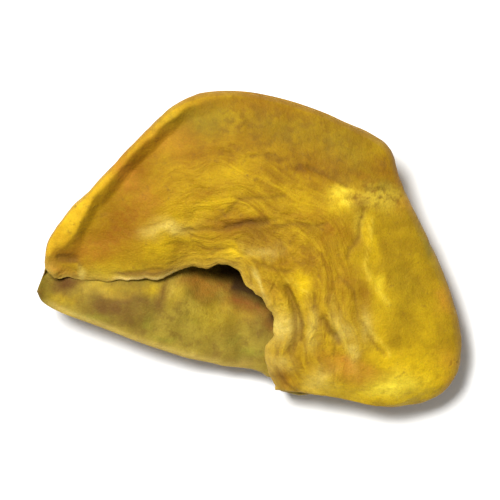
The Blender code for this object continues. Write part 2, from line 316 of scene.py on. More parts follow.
# The fibres run round the mouth, from the left tip to the lower edge, and crowd together at the knot.
KNOT = (14.1, 6.5, 1.7, 0.35)       # x, y, spread and height of the knot
KNOT_ROW = 13.5                     # the row and the fibre that run through it
KNOT_FIBRE = 0.2
KNOT_PULL = 0.35                    # how much closer the fibres lie there
KNOT_REACH = 6.0                    # and how far around it, in millimetres
MIDDLE_SHARE = 0.5                  # the fibre that lengths are measured along, as a share of the upper leaf
BULGE = (17.0, -15.7, 3.7, 0.7)     # the swelling at the lower right
RIDGES = 7.0            # coarse ridges between the smooth rim and the torn edge
RIDGE_HEIGHT = 0.24     # in millimetres, as all heights and depths of the relief are
RIDGE_BREADTH = 0.6     # power that makes the crests broad and the furrows between them narrow
RIDGE_MEAN = 0.65       # their mean, taken off so that they leave the flesh as thick as it was
RIDGE_LENGTH = 6.0      # how far a ridge keeps its height, in millimetres
RIDGE_PRESENCE = (0.55, 0.45)   # how much of its height shows, and how far that swings along it
RIM_LEFT = 0.16         # smooth rim outside the fibres, as a share of the upper leaf, left and right
RIM_RIGHT = 0.34
RIM_ROWS = (11.0, 17.0) # rows over which it widens from one to the other
RIM_FADE = 0.3          # share over which the fibres come up
TIP_FADE = (3.0, 7.0)   # rows over which they come up
FIBRE_BELT = 22.0       # width of the belt of fibres round the mouth, in millimetres
TIP_KNOB = (-23.4, -2.4, 0.9, 0.45)     # the swelling at the tip of the upper leaf
LOBE_KNOB = (-24.9, -4.7, 1.5, 0.7)     # and at the tip of the lower leaf
LOBE_END = (1.0, 3.0)   # control points of the lower leaf between which that one fades
FLAP_ROWS = (13.0, 14.5, 17.5, 19.0)    # rows where the groove beside the mouth starts, is full, and ends
FLAP_ROOT = 0.86        # its place and then its half width, as shares of the upper leaf
GROOVE_WIDTH = 0.022
GROOVE_DEPTH = 0.45
ROLL_EASE = 0.1         # share of the upper leaf over which the relief comes up from the roll
FIBRE_WANDER = ((8.0, 5.0, 0.04), (2.6, 14.0, 0.016))   # length in mm, waves across the leaf, share
FIBRES = 34.0           # fine fibres from the roll to the torn edge
FIBRE_LENGTH = 2.6
FIBRE_HEIGHT = 0.08
FINER = (2.1, 0.5)      # how much finer, and how much lower, the finest ones are
CREASES = 13.0          # narrow creases between the fibres, from the roll to the torn edge
CREASE_LENGTH = 3.4
CREASE_WIDTH = 0.2      # noise to each side of nought that makes a crease
CREASE_DEPTH = 0.2
CREASE_PATCHES = (3.0, 5.0)     # length of the patches that they come in, and patches across the leaf
CREASED = (0.0, 0.7)            # noise where such a patch begins, and where it is full
DRY_WAVES = ((3.4, 0.12), (1.5, 0.06), (0.7, 0.03))     # length and height of the shrinkage waves

# Strokes that stand out between the fibres: faint furrows, deep folds and proud ridges. Each is a row of
# points in millimetres from the slice's middle, and a width is from that line to where the stroke fades.
FURROW_WIDTH = 0.22
FURROW_DEPTH = 0.12
FURROW_TINT = 0.6       # how much of the folds' painted shade they take
FURROWS = (
    ((-7.8, 2.5), (-4.8, 2.6), (-2.4, 2.2), (-0.6, 3.1), (1.8, 3.7), (3.0, 3.5)),
    ((0.3, -1.4), (1.8, -1.9), (3.0, -2.3), (4.8, -2.6)),
    ((3.0, 2.9), (6.6, 3.1), (9.0, 2.9)),
    ((4.2, 6.4), (0.6, 6.2), (-1.2, 5.8), (-2.4, 4.6), (-4.2, 3.4)),
    ((16.5, 6.2), (17.7, 5.9)),
    ((13.8, 7.3), (15.6, 7.4)),
    ((11.7, 6.1), (12.6, 6.1)),
    ((13.5, 4.9), (12.9, 3.4), (12.9, 1.9), (12.3, 0.7), (11.4, -0.8)),
    ((10.5, -3.2), (12.3, -4.7), (12.9, -8.0), (13.8, -9.8), (15.0, -11.6), (15.9, -12.5)),
    ((7.5, -5.3), (8.1, -7.1)),
    ((9.6, -7.1), (9.9, -8.9), (9.9, -12.5)),
    ((3.3, -14.0), (4.2, -15.8), (5.4, -16.7)),
    ((-4.5, -0.5), (-2.4, 0.4), (-0.3, -0.5)),
    ((-14.7, -2.6), (-12.3, -2.6), (-10.5, -2.3)),
    ((0.0, 10.9), (3.0, 11.2)),
    ((6.6, 10.0), (7.8, 9.1), (10.2, 8.2), (11.4, 7.6)),
)
FOLD_WIDTH = 0.36
FOLD_DEPTH = 0.3
FOLDS = (
    ((4.3, -4.6), (5.0, -6.0), (5.7, -7.4), (6.1, -9.0), (5.9, -10.8)),
    ((-2.8, 2.5), (-1.4, 2.9), (0.0, 3.2), (2.0, 3.2)),
    ((8.6, -8.3), (9.6, -9.8), (10.4, -11.2)),
    ((-22.6, -1.0), (-20.6, -1.1)),
)
PROUD_WIDTH = 0.34
PROUD_HEIGHT = 0.1
PROUD_RIDGES = (
    ((14.4, 3.7), (14.2, 0.1), (13.6, -2.3), (14.7, -4.4), (16.2, -6.2)),
    ((13.2, -8.0), (14.1, -9.8), (15.9, -11.3), (16.5, -12.5)),
    ((4.5, -3.5), (5.7, -4.1), (6.6, -5.3)),
    ((9.6, -8.0), (10.8, -9.8), (11.7, -11.9), (12.0, -12.8)),
    ((7.2, -7.7), (7.2, -11.0)),
)
STROKE_WANDER = (1.3, 0.22)     # a stroke wanders this far over this length


def swelling(x, y, shape):
    middle_x, middle_y, spread, height = shape
    return height * np.exp(-((x - middle_x) ** 2 + (y - middle_y) ** 2) / spread ** 2)


def along_fibres(grid, row, share):
    """Distance of each row from that of the knot, in millimetres, measured along one middle fibre."""
    run = run_along(grid[:, np.searchsorted(share[0], MIDDLE_SHARE)])
    knot_line = np.searchsorted(row[:, 0], KNOT_ROW)
    return np.repeat((run - run[knot_line])[:, None], grid.shape[1], axis=1)


def fibre_place(run, share, depth, x, y):
    """Which fibre a point lies on, from 0 to 1 at the torn edge. They close up as they pass the knot."""
    nearness = np.exp(-((x - KNOT[0]) ** 2 + (y - KNOT[1]) ** 2) / KNOT_REACH ** 2)
    wander = sum(reach * bumps(run / length, waves * share, "fibres", wave)
                 for wave, (length, waves, reach) in enumerate(FIBRE_WANDER))
    fibre = 1 - (1 - share) * depth / FIBRE_BELT
    return KNOT_FIBRE + (fibre - KNOT_FIBRE) * (1 + KNOT_PULL * nearness) + wander


def rim_width(row):
    return RIM_LEFT + (RIM_RIGHT - RIM_LEFT) * smooth_step(*RIM_ROWS, row)


def fibrous(row, share):
    """One where the flesh shows its fibres, nought on the smooth rim."""
    rim = rim_width(row)
    return smooth_step(rim, rim + RIM_FADE, share) * smooth_step(*TIP_FADE, row)


def groove(row, share):
    """One along the groove beside the mouth."""
    return between(*FLAP_ROWS, row) * bell(share, FLAP_ROOT, GROOVE_WIDTH)


def strokes(x, y, lines, width):
    """One on the lines, falling to nought beside them. Each line is a row of points."""
    length, reach = STROKE_WANDER
    x = x + reach * bumps(x / length, y / length, "strokes_x")
    y = y + reach * bumps(x / length, y / length, "strokes_y")
    nearest = np.full(x.shape, np.inf)
    for line in lines:
        for (x0, y0), (x1, y1) in zip(line, line[1:]):
            span = (x1 - x0) ** 2 + (y1 - y0) ** 2
            part = np.clip(((x - x0) * (x1 - x0) + (y - y0) * (y1 - y0)) / span, 0.0, 1.0)
            nearest = np.minimum(nearest, np.hypot(x - x0 - part * (x1 - x0), y - y0 - part * (y1 - y0)))
    return bell(nearest, 0.0, width)


def dry_waves(grid, name):
    """The gentle unevenness of flesh that shrank as it dried."""
    x, y, z = np.moveaxis(grid, 2, 0)
    return sum(height * bumps((x + z) / length, (y + z) / length, name, wave)
               for wave, (length, height) in enumerate(DRY_WAVES))


def creases(run, fibre):
    """One along the creases, which come in patches."""
    length, across = CREASE_PATCHES
    creased = smooth_step(*CREASED, bumps(run / length, fibre * across, "creased"))
    away = np.abs(bumps(run / CREASE_LENGTH, fibre * CREASES, "creases")) / CREASE_WIDTH
    return creased * np.clip(1 - away, 0.0, 1.0)


def fibre_relief(row, share, run, fibre):
    """Height of the ridges, the fine fibres and the creases together."""
    mean, swing = RIDGE_PRESENCE
    finer, lower = FINER
    ridge = np.abs(np.sin(math.pi * RIDGES * fibre)) ** RIDGE_BREADTH - RIDGE_MEAN
    presence = mean + swing * bumps(run / RIDGE_LENGTH, fibre * RIDGES, "ridges")
    fine = 0.5 - np.abs(bumps(run / FIBRE_LENGTH, fibre * FIBRES, "fine"))
    finest = 0.5 - np.abs(bumps(run / FIBRE_LENGTH * finer, fibre * FIBRES * finer, "finest"))
    relief = RIDGE_HEIGHT * ridge * presence + FIBRE_HEIGHT * (fine + lower * finest)
    relief -= CREASE_DEPTH * creases(run, fibre)
    return relief * fibrous(row, share)


# The torn edge is ragged, and every edge of the sheet is rounded off to half its thickness.
RAGGED = ((0.14, 5.7, 0.0), (0.08, 3.1, 1.0))   # waves: size and length in millimetres, and start
RAGGED_FROM = 0.75      # share of the upper leaf where they start
TEARS = ((0.2, 1.9, 0.85), (0.12, 0.8, 0.93), (0.05, 0.35, 0.97))   # size, length, share where they start
EDGE_ROUND = 0.75       # width of the rounding, in millimetres
THINNEST = 0.1          # share of the thickness left at the very edge


def ragged_edge(grid, share):
    """The grid with the torn edge drawn out and in along its sections."""
    run = run_along(grid[:, -1])[:, None]
    waves = sum(size * np.sin(2 * math.pi * run / length + start) for size, length, start in RAGGED)
    reach = waves * smooth_step(RAGGED_FROM, 1.0, share)
    for wave, (size, length, start) in enumerate(TEARS):
        reach = reach + size * bumps(run / length, run * 0.0, "tears", wave) * smooth_step(start, 1.0, share)
    return grid + unit(np.gradient(grid, axis=1)) * reach[:, :, None]


def distance_to_edge(grid):
    """Distance over the sheet from each point to the nearest edge of the grid."""
    nearest = np.full(grid.shape[:2], np.inf)
    for axis in (0, 1):
        start = run_along(grid, axis)
        total = np.take(start, [-1], axis=axis)
        nearest = np.minimum(nearest, np.minimum(start, total - start))
    return nearest


def distance_from_roll(grid):
    """Distance over the sheet from each point to the outline, along its section."""
    start = run_along(grid, 1)
    roll = np.searchsorted(column_places(), NOSE)
    return np.abs(start - start[:, [roll]])


def round_edges(outer, inner):
    """The two faces drawn together towards the edges, in a quarter circle."""
    middle, half = (outer + inner) / 2, (outer - inner) / 2
    away = 1 - np.clip(distance_to_edge(middle) / EDGE_ROUND, 0.0, 1.0)
    share = np.maximum(np.sqrt(1 - away ** 2), THINNEST)[:, :, None]
    return middle + half * share, middle - half * share


def lip_and_valley(rows, row, share, depth):
    """Distance in from the lip's inner edge, and the depth of the valley behind it."""
    inward = share * depth
    length, reach = LIP_UNEVEN
    run = run_along(curve_through(ROLL, rows))[:, None]
    uneven = reach * bumps(run / length, run * 0.0, "lip")
    from_lip = inward - np.interp(row, LIP_ROWS, LIP_WIDTHS) - uneven
    dip = curve_through(DIP, rows)[:, None]
    valley = dip * smooth_step(*LIP_STEP, from_lip) * (1 - smooth_step(*VALLEY_RISE, inward))
    valley *= 1 - smooth_step(*LIP_END, row)
    valley *= 1 - smooth_step(*VALLEY_END, share)
    return from_lip, valley


def surface_lift(outer, row, share, depth):
    """How far the relief lifts each point of the outer face, and what the looks need to know of it."""
    x, y = outer[:, :, 0], outer[:, :, 1]
    run = along_fibres(outer, row, share)
    fibre = fibre_place(run, share, depth, x, y)
    across = FIBRE_BELT * fibre - np.where(share > 0, 0.0, distance_from_roll(outer))
    off_roll = smooth_step(0.0, ROLL_EASE, share)
    furrow = strokes(x, y, FURROWS, FURROW_WIDTH) * off_roll
    fold = strokes(x, y, FOLDS, FOLD_WIDTH) * off_roll
    proud = strokes(x, y, PROUD_RIDGES, PROUD_WIDTH) * off_roll
    relief = fibre_relief(row, share, run, fibre)
    lift = relief - GROOVE_DEPTH * groove(row, share)
    lift += swelling(x, y, KNOT) + swelling(x, y, BULGE) + swelling(x, y, TIP_KNOB)
    lift = lift * off_roll
    lift += PROUD_HEIGHT * proud - FURROW_DEPTH * furrow - FOLD_DEPTH * fold
    lift += dry_waves(outer, "outer_face")
    # Painted shade: the furrows, the folds and the groove are also darkened in colour.
    crease_shade = np.maximum(np.maximum(FURROW_TINT * furrow, fold), groove(row, share))
    return lift, {"run": run, "across": across, "furrow": crease_shade, "proud": proud, "relief": relief}


def sheet_faces():
    """The outer and the inner face in millimetres, and what the looks need to know of each point."""
    rows, places = row_places(), column_places()
    row, place = np.meshgrid(rows, places, indexing="ij")
    share = np.clip((place - NOSE - 1) / (places[-1] - NOSE - 1), 0.0, 1.0)
    depth = curve_through(np.linalg.norm(TORN - ROLL, axis=1), rows)[:, None]
    from_lip, valley = lip_and_valley(rows, row, share, depth)
    droop = np.interp(row, DROOP_ROWS, DROOPS) * smooth_step(DROOP_FROM, 1.0, share)

    def grid_through(net):
        sections = curve_through(net, rows)
        grid = curve_through(sections.transpose(1, 0, 2), places).transpose(1, 0, 2)
        grid[:, :, 2] = np.maximum(grid[:, :, 2], 0.0) - valley - droop
        grid[:, :, :2] -= DRAWING_CENTRE
        return ragged_edge(grid, share)

    net = control_net()
    outer, inner = grid_through(net), grid_through(lining_net(net))
    lift, fields = surface_lift(outer, row, share, depth)
    outer = outer + normals_of(outer) * lift[:, :, None]
    inner = inner - normals_of(inner) * dry_waves(inner, "inner_face")[:, :, None]
    on_lobe = 1 - smooth_step(*LOBE_END, place)
    inner[:, :, 2] += swelling(inner[:, :, 0], inner[:, :, 1], LOBE_KNOB) * on_lobe
    outer, inner = round_edges(outer, inner)
    outer[:, :, 2] = np.maximum(outer[:, :, 2], 0.0)
    fields.update(row=row, place=place, share=share, from_lip=from_lip, edge=distance_to_edge(outer))
    return outer, inner, fields


# A flat grid is doubled into a closed slab. The doubled layer, which stays selected, is the lining. Each
# point is then set on its own face.
outer, inner, fields = sheet_faces()
rows, columns = fields["row"].shape
bpy.ops.object.select_all(action="DESELECT")
bpy.ops.mesh.primitive_grid_add(x_subdivisions=rows - 1, y_subdivisions=columns - 1, size=2.0)
root_slice = bpy.context.object
root_slice.name = "root_slice"
bpy.ops.object.mode_set(mode="EDIT")
bpy.ops.mesh.select_all(action="SELECT")
bpy.ops.mesh.extrude_region()
bpy.ops.object.mode_set(mode="OBJECT")

mesh = root_slice.data
count = len(mesh.vertices)
flat = np.empty(count * 3)
mesh.vertices.foreach_get("co", flat)
flat = flat.reshape(count, 3)
on_lining = np.empty(count, dtype=bool)
mesh.vertices.foreach_get("select", on_lining)
grid_row = np.rint((flat[:, 0] + 1) / 2 * (rows - 1)).astype(int)
grid_column = np.rint((flat[:, 1] + 1) / 2 * (columns - 1)).astype(int)
at = (grid_row, grid_column)
placed = np.where(on_lining[:, None], inner[at], outer[at]) * MM
mesh.vertices.foreach_set("co", placed.ravel())
bpy.ops.object.mode_set(mode="EDIT")
bpy.ops.mesh.select_all(action="SELECT")
bpy.ops.mesh.normals_make_consistent(inside=False)
bpy.ops.object.mode_set(mode="OBJECT")
bpy.ops.object.shade_smooth()


def linear(hex_colour):
    """Linear RGBA of an sRGB hex value."""
    channels = [int(hex_colour[k:k + 2], 16) / 255 for k in (1, 3, 5)]
    return [c / 12.92 if c <= 0.04045 else ((c + 0.055) / 1.055) ** 2.4 for c in channels] + [1.0]


def add_node(kind, settings, inputs, output):
    """Adds a node. Sockets go by identifier, and an input is a value or the socket that feeds it."""
    node = flesh.node_tree.nodes.new("ShaderNode" + kind)
    for name, value in settings.items():
        setattr(node, name, value)
    for socket in node.inputs:
        value = inputs.get(socket.identifier)
        if isinstance(value, bpy.types.NodeSocket):
            flesh.node_tree.links.new(value, socket)
        elif value is not None:
            socket.default_value = value
    return next(socket for socket in node.outputs if socket.identifier == output)


# What drying left on the flesh, with painted shade among it: the browned marks in the valley behind the lip
# and on the lobe beside the gap, and the darkest marks in the folds, are shade painted into the colour. Each
# mark is x, y, half its length, half its width, in millimetres, the angle that it lies at in degrees, and its
# strength. The first marks are on the upper leaf, the others on the lining, which shows on the lobe below the
# mouth.
UPPER_MARKS = {
    "browned_and_shade": (
        (-15.6, 2.2, 8.0, 3.0, 49, 1.0), (-13.5, 9.1, 6.0, 2.2, 50, 0.9), (-20.4, -0.2, 3.4, 1.5, 10, 0.9),
        (6.2, 10.3, 2.6, 1.8, -30, 0.8), (13.2, 10.6, 2.4, 1.4, 0, 0.6), (12.3, 5.8, 1.4, 0.8, 0, 0.8),
        (10.5, 1.9, 2.4, 1.2, -20, 0.5), (-1.2, 2.8, 3.0, 1.1, 15, 0.9), (3.9, -15.5, 2.2, 1.0, -60, 0.8),
        (13.2, -6.2, 3.0, 0.8, -75, 0.5), (-12.9, -2.5, 3.2, 0.5, 0, 0.9),
        (12.6, -15.8, 1.0, 1.0, 0, 0.5), (2.0, 13.0, 9.0, 3.8, -8, 0.6), (9.0, 10.5, 5.5, 3.6, -30, 0.75),
        (-6.0, 12.5, 5.0, 3.4, 30, 0.6), (5.5, -0.5, 4.0, 1.6, -20, 0.4), (16.0, 9.0, 2.4, 2.4, 0, 0.8),
        (8.8, 2.1, 0.9, 1.1, 0, 0.8), (1.0, 16.6, 8.0, 1.4, -6, 0.7), (3.4, -0.4, 4.5, 1.6, -35, 0.5),
        (7.6, 4.6, 2.2, 1.3, 0, 0.5),
        (12.6, 9.0, 2.0, 0.9, -10, 0.9), (-6.0, 6.6, 4.0, 0.9, 30, 0.5), (7.0, 3.8, 3.0, 0.6, -8, 0.5),
        (-3.0, 3.6, 3.4, 1.2, 20, 0.4), (11.0, -3.6, 1.4, 2.0, 0, 0.4),
    ),
    "olive": (
        (15.6, 7.3, 1.4, 1.0, 0, 0.5), (21.0, 0.1, 3.0, 0.5, -63, 0.4), (-5.4, 15.1, 5.0, 2.0, 0, 0.4),
        (18.0, -4.4, 2.0, 3.0, 0, 0.1), (-17.8, -2.8, 3.0, 1.0, 0, 0.4),
        (10.5, 12.0, 4.0, 2.4, -30, 0.3), (4.0, 14.0, 6.0, 2.0, -10, 0.25),
    ),
    "yellow": (
        (10.6, 6.2, 1.4, 1.4, 0, 0.9), (10.6, 4.9, 1.3, 0.8, 0, 1.0), (6.0, 6.1, 2.2, 1.6, 0, 0.35),
        (14.6, -4.0, 3.0, 1.0, -60, 0.65), (14.2, 1.2, 4.0, 0.8, 92, 0.6), (15.2, -9.6, 3.6, 1.2, -80, 0.5),
        (-2.1, -0.5, 1.6, 0.7, 10, 1.0), (5.7, -4.1, 1.6, 1.0, -40, 1.0), (16.5, -12.8, 2.4, 1.4, -30, 0.7),
        (20.3, -15.0, 3.4, 3.8, 0, 0.9), (15.6, -17.6, 5.0, 1.4, 0, 0.9), (-2.4, 9.6, 5.0, 1.3, 20, 0.4),
        (-4.6, 5.2, 3.4, 0.9, 35, 0.4), (-11.1, 0.6, 3.0, 1.2, 20, 0.45), (-8.4, 4.6, 3.4, 1.2, 45, 0.3),
        (4.8, -5.6, 1.4, 1.6, 0, 0.6), (21.0, -9.0, 1.6, 3.0, 0, 0.4), (10.0, -16.6, 4.0, 1.2, 0, 0.5),
        (-16.0, -2.4, 4.0, 1.2, 0, 0.4),
    ),
    "orange": (
        (18.3, 5.2, 1.2, 1.0, 0, 0.7), (22.5, -5.9, 1.0, 1.2, 0, 0.7), (23.4, -13.1, 1.4, 1.6, 0, 0.6),
        (23.7, -15.8, 1.2, 1.2, 0, 0.5), (11.1, -14.0, 2.4, 1.2, -20, 0.9), (2.7, -4.4, 1.8, 1.0, 0, 0.3),
        (-14.7, 8.8, 1.4, 1.6, 0, 0.7), (-12.3, 6.1, 2.0, 2.0, 0, 0.3), (13.8, -14.3, 1.4, 0.8, 0, 0.7),
        (-9.6, 12.4, 2.4, 1.6, 0, 0.4), (-22.8, -2.4, 1.8, 0.6, -15, 0.8), (-18.6, 0.2, 2.0, 1.0, 0, 0.4),
    ),
    "pale": (
        (3.6, -8.9, 1.8, 2.0, 0, 0.9), (8.4, -15.8, 1.8, 1.2, 0, 0.7), (-9.6, 2.5, 2.6, 0.8, 10, 0.8),
        (12.0, -12.2, 0.8, 1.6, 0, 0.7), (-12.6, -3.6, 2.8, 0.45, 0, 1.0), (7.2, -9.5, 1.0, 2.6, 0, 0.4),
        (10.8, -8.9, 2.0, 0.8, -70, 0.5), (0.9, -4.1, 1.6, 0.4, -45, 0.8), (3.0, -13.4, 1.6, 1.0, 0, 0.5),
        (13.5, -8.9, 1.0, 1.6, 0, 0.5), (1.5, 0.1, 2.4, 0.8, 0, 0.4), (-20.4, -3.1, 0.35, 0.9, 0, 0.8),
    ),
    "fresh": (
        (16.6, -16.0, 3.0, 1.3, 5, 1.0), (10.6, 6.8, 0.9, 0.7, 0, 0.9), (10.8, 5.0, 0.9, 0.5, 0, 0.9),
        (14.8, -4.2, 2.0, 0.4, -60, 0.35),
    ),
    "darkest": (
        (-0.4, 2.9, 2.6, 0.5, 8, 0.8), (0.8, 2.0, 2.0, 0.9, 5, 0.4), (5.7, 10.6, 0.9, 1.0, 0, 0.6),
        (13.2, 5.3, 1.0, 1.2, 0, 0.45), (2.9, -15.0, 1.6, 0.6, -60, 0.6), (17.3, 6.0, 0.6, 0.4, 0, 0.6),
        (-21.4, -1.1, 1.4, 0.35, 0, 0.6), (-21.6, -3.3, 0.9, 0.4, 0, 0.8), (-13.4, -2.7, 2.2, 0.3, 0, 0.4),
        (-7.0, 2.9, 1.6, 0.4, 12, 0.4), (3.0, 10.9, 1.2, 0.6, 0, 0.45), (9.8, 9.2, 1.8, 0.5, -25, 0.45),
    ),
}
LINING_MARKS = {
    "browned_and_shade": (
        (-15.6, -6.0, 3.2, 2.2, -15, 0.8), (-16.6, -7.4, 2.6, 1.3, -15, 0.8), (-10.8, -4.9, 0.7, 2.0, 0, 0.9),
        (-22.0, -3.8, 1.7, 0.9, 0, 1.0), (0.3, -7.4, 2.4, 1.2, -50, 0.4), (-22.5, -4.4, 1.2, 0.8, 0, 0.9),
        (-12.6, -7.6, 1.2, 1.0, 0, 0.4), (-6.0, -3.9, 2.6, 1.5, -4, 0.8),
    ),
    "olive": (
        (0.0, -12.5, 1.6, 0.6, 0, 0.8), (-10.5, -10.1, 1.4, 0.5, 0, 0.7), (-12.0, -8.3, 0.5, 0.8, 0, 0.6),
        (-6.3, -8.3, 1.0, 0.5, 0, 0.5), (-24.9, -5.0, 1.0, 1.4, 0, 0.8), (-2.4, -11.3, 1.0, 0.4, 0, 0.5),
        (-19.0, -7.9, 2.2, 0.5, -22, 0.7),
    ),
    "yellow": (
        (-9.0, -5.0, 1.2, 1.4, 0, 0.35), (-22.2, -5.6, 2.4, 0.8, -10, 0.4), (-12.4, -4.4, 1.4, 0.8, 0, 0.6),
        (-17.0, -4.6, 3.6, 0.8, 0, 0.4), (-3.6, -8.0, 3.0, 2.0, -20, 0.25),
    ),
    "orange": ((-5.8, -4.0, 2.4, 1.4, -6, 0.6), (-1.4, -7.2, 1.6, 0.8, -40, 0.5)),
    "pale": (
        (-4.8, -13.1, 4.0, 0.5, -10, 0.4), (-9.0, -4.6, 1.0, 1.2, 0, 0.3), (-18.0, -4.8, 3.0, 0.5, 0, 0.3),
    ),
    "fresh": (),
    "darkest": (
        (-22.0, -4.1, 2.0, 1.0, -10, 1.0), (-10.6, -4.6, 0.4, 1.4, 10, 0.5), (-24.8, -5.0, 0.9, 1.1, 0, 0.8),
        (-16.6, -7.2, 1.8, 0.8, 0, 0.35),
    ),
}
MARK_WANDER = ((2.6, 0.7), (0.9, 0.35))     # the outline of a mark wanders this far over this length

# The flesh of the knot and the flecked dome of the upper leaf, as marks too.
KNOTTY = ((14.8, 6.2, 3.6, 1.5, -6, 1.0), (11.4, 6.0, 2.0, 1.6, 0, 0.6), (13.0, 3.4, 1.0, 2.0, 0, 0.5))
MOTTLED = ((3.0, 13.0, 13.0, 5.0, -10, 1.0), (12.0, 9.5, 5.5, 3.0, -30, 0.8), (6.0, -0.5, 6.0, 3.0, -40, 0.6))

# What lies along an edge of the sheet. Distances and widths are in millimetres, and of four rows the first
# and the last are where a thing starts and ends, and it is full between the other two.
RIND_EDGES = (1.6, 0.4)     # how far the rind reaches from the outline under the roll, and over it
TORN_FRINGE = (0.9, 0.55)   # width and strength of the dry fringe at the torn edge
FREE_FRINGE = (0.5, 0.7)    # and of the one at the free edge
FREE_FRINGE_ROWS = (0.6, 1.8)   # rows over which that one comes up
DRY_STRIP = (0.45, 0.3)     # the palest strip of the torn edge, left of the arch: distance in, half width
BROWN_LINE = (1.2, 0.3)     # and the brown line behind it
STRIP_ROWS = (2.9, 3.5, 5.4, 6.2)
LOBE_STRIP = (0.5, 0.3)     # the pale strip along the edge of the lobe, and its strength
LOBE_STRIP_STRENGTH = 0.3
LOBE_STRIP_ROWS = (0.8, 2.0, 7.0, 13.0)
RELIEF_SPAN = 0.25          # relief that counts as a full crest or hollow
LIP_SOFT = (-0.3, 0.25)     # the lip's tone ends between these distances from its inner edge
LIP_SHADE = (1.0, 1.4)      # painted shade behind the lip, where the valley turns from the light: distance in, half width
LIP_SHADE_STRENGTH = 0.25
LIP_SHADE_ROWS = (5.5, 8.5) # rows over which it ends
PALE_RIM = (0.3, 0.7)       # the outline's pale rim at the top, a painted highlight, fades between these distances in from it
PALE_RIM_ROWS = (5.0, 7.0, 11.5, 13.0)
CORE = (4.0, 5.5)           # below, the darker core of the root begins this far in from every edge
CORE_WANDER = (7.0, 1.6)    # and its outline wanders this far over this length

# Painted shade of the hollow, which shows in the gap under the arch: the lining is darkened in its colour
# where the upper leaf covers it.
GAP_ROWS = (8.2, 9.0, 10.0, 11.0, 12.0, 13.5, 15.0, 16.5)       # rows of the gap
GAP_WIDTHS = (0.1, 1.4, 2.1, 1.1, 0.5, 0.9, 0.5, 0.1)   # how far out from the torn edge it reaches there
ARCH_ROWS = (7.8, 9.6, 14.0, 16.0)      # the rows of the arch, in the same way
COVER_ARCH = (-0.3, 0.2)    # under the arch, distances in from the gap's border over which it darkens
COVER_LEFT = (0.6, 2.6)     # and left of it, distances in from the torn edge
COVER_DEEP = (0.8, 3.0)     # distances in from there over which light from the side shows it again
COVER_LIGHTER = 0.85        # and by how much
COVER_END = (15.5, 17.0)    # rows over which the dark ends
BESIDE_GAP = (-0.6, 0.8)    # the painted half shade out beside the gap: distance in from its border, half width


def marks(x, y, listed):
    """The strength of the listed marks at each point, with their outlines drawn out unevenly."""
    total = np.zeros(x.shape)
    for wave, (length, reach) in enumerate(MARK_WANDER):
        x = x + reach * bumps(x / length, y / length, "marks_x", wave)
        y = y + reach * bumps(y / length, x / length, "marks_y", wave)
    for mark_x, mark_y, half_length, half_width, angle, strength in listed:
        turn = math.radians(angle)
        along = (x - mark_x) * math.cos(turn) + (y - mark_y) * math.sin(turn)
        beside = (y - mark_y) * math.cos(turn) - (x - mark_x) * math.sin(turn)
        total = np.maximum(total, strength * np.exp(-(along / half_length) ** 2 - (beside / half_width) ** 2))
    return total


def under_cover():
    """How far in under the torn edge each point of the lower leaf's lining lies, in millimetres."""
    edge = curve_through(np.linalg.norm(TORN - FREE, axis=1), fields["row"][:, 0])[:, None]
    start = curve_through(FREE, fields["row"][:, 0])[:, None, :] - DRAWING_CENTRE
    return np.hypot(inner[:, :, 0] - start[:, :, 0], inner[:, :, 1] - start[:, :, 1]) - edge


none = np.zeros((rows, columns))
row, share, edge = fields["row"], fields["share"], fields["edge"]
relief, from_lip = fields["relief"], fields["from_lip"]
from_roll = distance_from_roll(outer)
outer_plan, inner_plan = np.moveaxis(outer[:, :, :2], 2, 0), np.moveaxis(inner[:, :, :2], 2, 0)
leaf = smooth_step(NOSE - 1.0, NOSE, fields["place"])       # one on the upper leaf, nought on the lower one
below = 1 - leaf

rind_reach = np.where(share > 0, RIND_EDGES[1], RIND_EDGES[0])
on_lip = (1 - smooth_step(*LIP_SOFT, from_lip)) * (1 - smooth_step(*LIP_END, row))
rim_highlight = (1 - smooth_step(*PALE_RIM, from_roll)) * between(*PALE_RIM_ROWS, row)
beside_lip = LIP_SHADE_STRENGTH * bell(from_lip, *LIP_SHADE)
gaping = between(*ARCH_ROWS, row)
past_gap = under_cover() + np.interp(row, GAP_ROWS, GAP_WIDTHS)
# Painted shade: the lining darkens in under the torn edge, and out into the gap under the arch, where the
# hollow gets little light.
shade_under_cover = (1 - gaping) * smooth_step(*COVER_LEFT, under_cover())
shade_under_cover += gaping * smooth_step(*COVER_ARCH, past_gap)
shade_under_cover *= 1 - COVER_LIGHTER * smooth_step(*COVER_DEEP, under_cover())
wander_length, wander = CORE_WANDER
core_wander = wander * bumps(outer_plan[0] / wander_length, outer_plan[1] / wander_length, "core")
torn_fringe, free_fringe = (part * np.exp(-edge / width) for width, part in (TORN_FRINGE, FREE_FRINGE))
fringe = np.where(share > 0, torn_fringe, free_fringe * smooth_step(*FREE_FRINGE_ROWS, row))
on_torn = between(*STRIP_ROWS, row) * leaf
on_lobe = between(*LOBE_STRIP_ROWS, row) * LOBE_STRIP_STRENGTH

